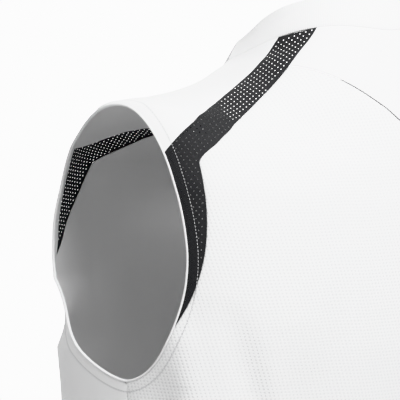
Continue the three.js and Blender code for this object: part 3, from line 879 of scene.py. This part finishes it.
sideAngle = seams["side"][0][0]
backHem, frontHem = hemLine(sideAngle, 180 - sideAngle), hemLine(-180 - sideAngle, sideAngle)
backPath, frontPath = sidePath(True), sidePath(False)
yokeSide = lines["backLowerParts"][1]
backNeck = neckLine(yokeSide[-1, 0], 180 - yokeSide[-1, 0])
frontNeck = neckLine(-180 - frontPath[-1, 0], frontPath[-1, 0])
rimFront = armholeTurn(lines["frontUpper"][0, 1], False) - 2 * math.pi
rimBack = armholeTurn(lines["backUpper"][0, 1], True)
shoulderRim = armholePart(rimFront, rimBack)
shoulderNeck = neckLine(lines["frontUpper"][-1, 0], lines["backUpper"][-1, 0])

nets = {
    "back_panel": (
        patchGrid(backHem, lines["yoke"], backPath, mirrored(backPath), 116, 160),
        90, {"top": 1.6, "left": 0.7, "right": 0.7}, "pique", "white_pique",
    ),
    "front_panel": (
        patchGrid(frontHem, frontNeck, acrossFront(frontPath), frontPath, 116, 160),
        -90, {"top": 0.2, "left": 0.4, "right": 0.4}, "jersey", "white_jersey",
    ),
    "back_yoke": (
        patchGrid(lines["yoke"], backNeck, yokeSide, mirrored(yokeSide), 60, 16),
        90, {"bottom": 0.05, "top": 0.2, "left": 0.3, "right": 0.3}, "jersey", "white_jersey",
    ),
    "shoulder_left": (
        patchGrid(shoulderRim, shoulderNeck, lines["frontUpper"], lines["backUpper"], 48, 36),
        0, {"top": 0.2, "left": 0.3, "right": 0.3}, "jersey", "white_jersey",
    ),
}
for name, (net, middle, sewn, fabric, slotName) in nets.items():
    piece, area = clothPatch(name, net, middle, sewn, panelThickness, materials[fabric])
    made[name] = {"piece": piece, "area": area, "net": net, "slot": slotName}
    if name != "back_yoke":
        rim = pointsAlong(lines["hole"], np.linspace(0, 1, 400))
        addDistance(piece, "fromArmhole", np.vstack([rim, mirrored(rim)]))
    if name == "back_panel":
        addDistance(piece, "fromYoke", pointsAlong(lines["yoke"], np.linspace(0, 1, 500)))
    print(name, "area", round(area, 4), "faces", len(piece.data.polygons))


def mirrorCopy(name, source):  # the same piece on the wearer's right
    mesh = made[source]["piece"].data.copy()
    mesh.transform(Matrix.Scale(-1, 4, (1, 0, 0)))
    mesh.flip_normals()
    piece = bpy.data.objects.new(made[source]["piece"].name.replace("left", "right"), mesh)
    bpy.context.collection.objects.link(piece)
    made[name] = {**made[source], "piece": piece}


mirrorCopy("shoulder_right", "shoulder_left")

# the mesh bands
for name, behind in (("band_back_left", True), ("band_front_left", False)):
    piece, size, area = bandMesh(name, behind, materials["mesh"])
    size, area = size * millimetre, area * millimetre**2
    made[name] = {"piece": piece, "area": area, "size": size, "slot": "black_mesh"}
    mirrorCopy(name.replace("left", "right"), name)
print("bands done")

# each armhole's turned-in facing, whose fold shows as a narrow edge
facing = {
    "spans": 270,
    # across the fold: how far from the armhole's edge, and how deep in from the cloth's outer face
    "section": [
        (1.05, 0.02), (1.0, -0.3), (0.5, -0.48), (0.0, -0.42), (-0.5, -0.1), (-0.75, 0.5), (-0.7, 1.2),
        (-0.3, 1.75), (0.6, 2.0), (3.0, 2.15), (6.0, 2.15), (7.8, 2.05), (8.4, 1.75), (8.3, 1.4), (7.6, 1.25),
        (4.0, 1.2), (1.2, 1.15), (0.05, 1.05), (-0.12, 0.5), (0.0, 0.1),
    ],
}


def movedAway(line, distance):  # a closed line moved over the cloth, away from the hole it runs round
    count = max(1, math.ceil(abs(distance) / 0.6))
    step = distance / count
    for _ in range(count):
        points = formPoint(*line.T)
        around, up = clothDirections(*line.T)
        along = np.roll(points, -1, 0) - np.roll(points, 1, 0)
        away = unit(np.cross(along, np.cross(around, up)))
        aa, au, uu = (around * around).sum(1), (around * up).sum(1), (up * up).sum(1)
        ra, ru = (away * around).sum(1), (away * up).sum(1)
        scale = step / (aa * uu - au * au)
        line = line - np.stack([scale * (uu * ra - au * ru), scale * (aa * ru - au * ra)], -1)
    return line


def facingMesh(name, material):
    shares = np.linspace(0, 1, facing["spans"], endpoint=False)
    edge = pointsAlong(lines["hole"], shares)
    length = pathLengths(lines["hole"])[-1]
    loops, grain = [], []
    travelled = 0
    previous = facing["section"][0]
    for away, depth in facing["section"]:
        travelled += math.dist(previous, (away, depth))
        previous = (away, depth)
        loops.append(clothPoint(*movedAway(edge, away).T, np.full(len(edge), depth)))
        grain.append(np.stack([shares * length, np.full(len(edge), travelled)], -1))
    faces = gridFaces(len(loops), len(edge), closedRows=True, closedColumns=True)
    return meshFrom(name + "_cloth", np.vstack(loops), faces, np.vstack(grain), material), length


piece, armholeLength = facingMesh("armhole_facing_left", materials["jersey"])
made["armhole_facing_left"] = {"piece": piece, "slot": "white_jersey"}
mirrorCopy("armhole_facing_right", "armhole_facing_left")

# the collar: a ribbed ring that stands on the neck seam and leans in
collar = {
    "spans": 360,
    "height": 22,
    "shapeColumns": ("angle", "rise", "lean"),
    "shape": [
        (-90, 16.0, 12.0), (-45, 13.5, 11.0), (-15, 12.5, 10.0), (0, 14.5, 9.5), (10, 17.5, 8.8),
        (20, 20.5, 8.0), (35, 22.0, 6.5), (60, 22.0, 5.8), (90, 22.0, 5.5),
    ],
    # up its outside and down its inside: how far up, and how deep in
    "section": [
        (0.0, 0.45), (0.03, 0.05), (0.08, -0.2), (0.2, -0.35), (0.4, -0.4), (0.6, -0.35), (0.78, -0.2),
        (0.9, 0.0), (0.96, 0.25), (1.0, 0.8), (1.0, 1.25), (0.96, 1.7), (0.9, 1.85), (0.7, 1.8), (0.4, 1.7),
        (0.15, 1.6), (0.0, 1.5),
    ],
}


def collarMesh(name, material):
    angles = np.linspace(0, 360, 1440, endpoint=False)
    line = np.stack([angles, neckHeight(angles)], -1)
    closed = np.vstack([line, [[360, neckHeight(0.0)]]])
    edge = pointsAlong(closed, np.linspace(0, 1, collar["spans"], endpoint=False))
    length = pathLengths(closed)[-1]
    shape = np.array(collar["shape"], float)
    fromBack = np.abs(np.mod(edge[:, 0] - 90 + 180, 360) - 180)
    rise = steadyCurve(shape[:, 0], shape[:, 1])(90 - fromBack)
    lean = steadyCurve(shape[:, 0], shape[:, 2])(90 - fromBack)
    turn = np.radians(edge[:, 0])
    inward = np.stack([-np.cos(turn), -np.sin(turn), 0 * turn], -1)
    _, up = clothDirections(*edge.T)
    base = unit(up) * 0.1
    loops, grain = [], []
    for share, depth in collar["section"]:
        lift = share * (rise[:, None] * [[0, 0, 1]] + lean[:, None] * inward)
        loops.append(clothPoint(*edge.T, np.full(len(edge), depth)) + base + lift)
        grainHeight = np.full(len(edge), share * collar["height"])
        grain.append(np.stack([np.linspace(0, length, len(edge)), grainHeight], -1))
    faces = gridFaces(len(loops), len(edge), closedRows=True, closedColumns=True)
    return meshFrom(name + "_cloth", np.vstack(loops), faces, np.vstack(grain), material), length


piece, neckLength = collarMesh("collar_rib", materials["rib"])
made["collar_rib"] = {"piece": piece, "slot": "white_rib"}
print("facings and collar done", round(armholeLength), round(neckLength))

# stitches: short capsules of thread laid along the seams
stitch = {"sides": 6, "radius": 0.17, "length": 1.9, "pitch": 2.5}


def stitchShape(radius, length):  # one capsule along X, flattened where it lies on the cloth
    half = length / 2
    turns = np.radians(np.arange(stitch["sides"]) * 360 / stitch["sides"])
    points = [(-half, 0, 0)]
    for x, size in ((-half * 0.82, 0.8), (-half * 0.35, 1.0), (half * 0.35, 1.0), (half * 0.82, 0.8)):
        points += [(x, radius * size * math.cos(t), 0.7 * radius * size * math.sin(t)) for t in turns]
    points.append((half, 0, 0))
    n, last = stitch["sides"], len(points) - 1
    faces = [(0, 1 + (k + 1) % n, 1 + k) for k in range(n)]
    faces += gridFaces(4, n, closedColumns=True, offset=1, flip=True)
    faces += [(last, last - n + k, last - n + (k + 1) % n) for k in range(n)]
    return np.array(points), [f[::-1] for f in faces]


def stitchRow(line, lift):
    count = int(pathLengths(line)[-1] / stitch["pitch"])
    places = pointsAlong(line, (np.arange(count) + 0.5) / count)
    ends = [pointsAlong(line, (np.arange(count) + 0.5 + nudge) / count) for nudge in (-0.2, 0.2)]
    out = clothNormal(*places.T)
    along = unit(formPoint(*ends[1].T) - formPoint(*ends[0].T))
    centre = formPoint(*places.T) + out * lift
    return centre, along, np.cross(out, along), out


def threadMesh(name, rows):
    shape, shapeFaces = stitchShape(stitch["radius"], stitch["length"])
    points, faces = [], []
    for centre, along, side, out in rows:
        for c, x, y, z in zip(centre, along, side, out):
            faces += [tuple(k + len(points) * len(shape) for k in f) for f in shapeFaces]
            points.append(c + shape @ np.stack([x, y, z]))
    points = np.vstack(points)
    return meshFrom(name, points, faces, np.zeros((len(points), 2)), materials["thread"])


hemRing = movedAway(pointsAlong(lines["hole"], np.linspace(0, 1, 361)[:-1]), hemStitchDistance)
hemRing = np.vstack([hemRing, hemRing[:1]])
made["armhole_stitches_left"] = {"piece": threadMesh("armhole_stitches_left", [stitchRow(hemRing, 0.05)])}
mirrorCopy("armhole_stitches_right", "armhole_stitches_left")

hemRises = (18, 20.5)  # two rows, so far above the shirt's hem
hemHeights = [seams["side"][0][1] + rise for rise in hemRises]
hemRows = [np.stack([np.linspace(0, 360, 721), np.full(721, h)], -1) for h in hemHeights]
made["hem_stitches"] = {"piece": threadMesh("hem_stitches", [stitchRow(row, 0.02) for row in hemRows])}
print("stitches done")

# ties to the frame
for name, facts in made.items():
    piece = facts["piece"]
    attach(piece, "root")
    if "slot" in facts:
        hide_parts(name)


def netSpan(net):  # a panel's flat width and length, from its longest lines
    points = formPoint(net[..., 0], net[..., 1])
    widths = np.linalg.norm(np.diff(points, axis=1), axis=2).sum(1)
    lengths = np.linalg.norm(np.diff(points, axis=0), axis=2).sum(0)
    return widths.max() * millimetre, lengths.max() * millimetre


facingShown, collarShown = 0.0115, 0.023  # metres across, of the strips that show
wholeShare = 0.97  # a piece that fills more of its rectangle than this is cut as the whole of it
cuts = {}
for name, facts in made.items():
    if "net" in facts:
        width, length = netSpan(facts["net"])
        area = facts["area"]
    elif "size" in facts:
        width, length = facts["size"]
        area = facts["area"]
    elif name.startswith("armhole_facing"):
        width, length, area = armholeLength * millimetre, facingShown, None
    elif name == "collar_rib":
        width, length, area = neckLength * millimetre, collarShown, None
    else:
        continue
    whole = width * length
    share = None if area is None or area > wholeShare * whole else area
    cuts[name] = [round(width, 4), round(length, 4), round(share or whole, 5)]
print("cuts", json.dumps(cuts))

# floor, light and camera
stand = {"height": -0.66, "floor": 7.0, "colour": (0.9, 0.9, 0.9, 1)}
bpy.ops.mesh.primitive_plane_add(size=stand["floor"], location=(0, 0, stand["height"]))
floor = bpy.context.active_object
floor.name = "floor"
floorMaterial = bpy.data.materials.new("paleFloor")
floorMaterial.use_nodes = True
floorShader = floorMaterial.node_tree.nodes["Principled BSDF"]
floorShader.inputs["Base Color"].default_value = stand["colour"]
floorShader.inputs["Roughness"].default_value = 0.95
floor.data.materials.append(floorMaterial)


def fromAngles(azimuth, elevation):  # the direction from the shirt to a camera or a lamp
    turn, lift = math.radians(azimuth), math.radians(elevation)
    return Vector((math.sin(turn) * math.cos(lift), -math.cos(turn) * math.cos(lift), math.sin(lift)))


# in metres, angles in degrees; right and up move the aim within the picture
view = {
    "azimuth": 139.5,
    "elevation": 2.5,
    "away": 4.0,
    "anchor": (0.179, 0.074, -0.100),
    "right": 0.010,
    "up": 0.030,
    "width": 0.2857,
}
turn = math.radians(view["azimuth"])
back = fromAngles(view["azimuth"], view["elevation"])
right = Vector((math.cos(turn), math.sin(turn), 0))
target = Vector(view["anchor"]) + right * view["right"] + back.cross(right) * view["up"]
cameraData = bpy.data.cameras.new("camera")
cameraData.lens = cameraData.sensor_width * view["away"] / view["width"]
cameraData.clip_end = 200
camera = bpy.data.objects.new("camera", cameraData)
camera.location = target + back * view["away"]
camera.rotation_euler = back.to_track_quat("Z", "Y").to_euler()
bpy.context.collection.objects.link(camera)
bpy.context.scene.camera = camera

# angles as the camera's, metres and watts; over: how far above the shirt a lamp is aimed
softboxes = {
    "key": {
        "azimuth": 176, "elevation": 46, "away": 3.4, "size": 2.2,
        "power": 47, "over": 1.55, "spread": 50,
    },
    "fill": {
        "azimuth": 118, "elevation": 62, "away": 3.6, "size": 2.4,
        "power": 8, "over": 1.5, "spread": 60,
    },
    "front": {
        "azimuth": 330, "elevation": 35, "away": 3.6, "size": 2.6,
        "power": 26, "over": 0, "spread": 180,
    },
}
lampCentre = Vector((0, 0, -0.2))
for name, softbox in softboxes.items():
    towards = fromAngles(softbox["azimuth"], softbox["elevation"])
    light = bpy.data.lights.new(name, "AREA")
    light.size = softbox["size"]
    light.energy = softbox["power"]
    light.spread = math.radians(softbox["spread"])
    lamp = bpy.data.objects.new(name, light)
    lamp.location = lampCentre + towards * softbox["away"]
    aim = towards * softbox["away"] - Vector((0, 0, softbox["over"]))
    lamp.rotation_euler = aim.to_track_quat("Z", "Y").to_euler()
    bpy.context.collection.objects.link(lamp)

studio = {"seen": 2.8, "cast": 0.46}
world = bpy.data.worlds.new("studio")
bpy.context.scene.world = world
world.use_nodes = True
background = world.node_tree.nodes["Background"]
background.inputs["Color"].default_value = (1, 1, 1, 1)
path = world.node_tree.nodes.new("ShaderNodeLightPath")
seenRay = path.outputs["Is Camera Ray"]
extra = studio["seen"] - studio["cast"]
reach = mathNode(world.node_tree, "MULTIPLY_ADD", seenRay, extra, studio["cast"])
world.node_tree.links.new(reach, background.inputs["Strength"])
bpy.context.scene.view_settings.view_transform = "Khronos PBR Neutral"

# bring the scene up to date
bpy.context.view_layer.update()
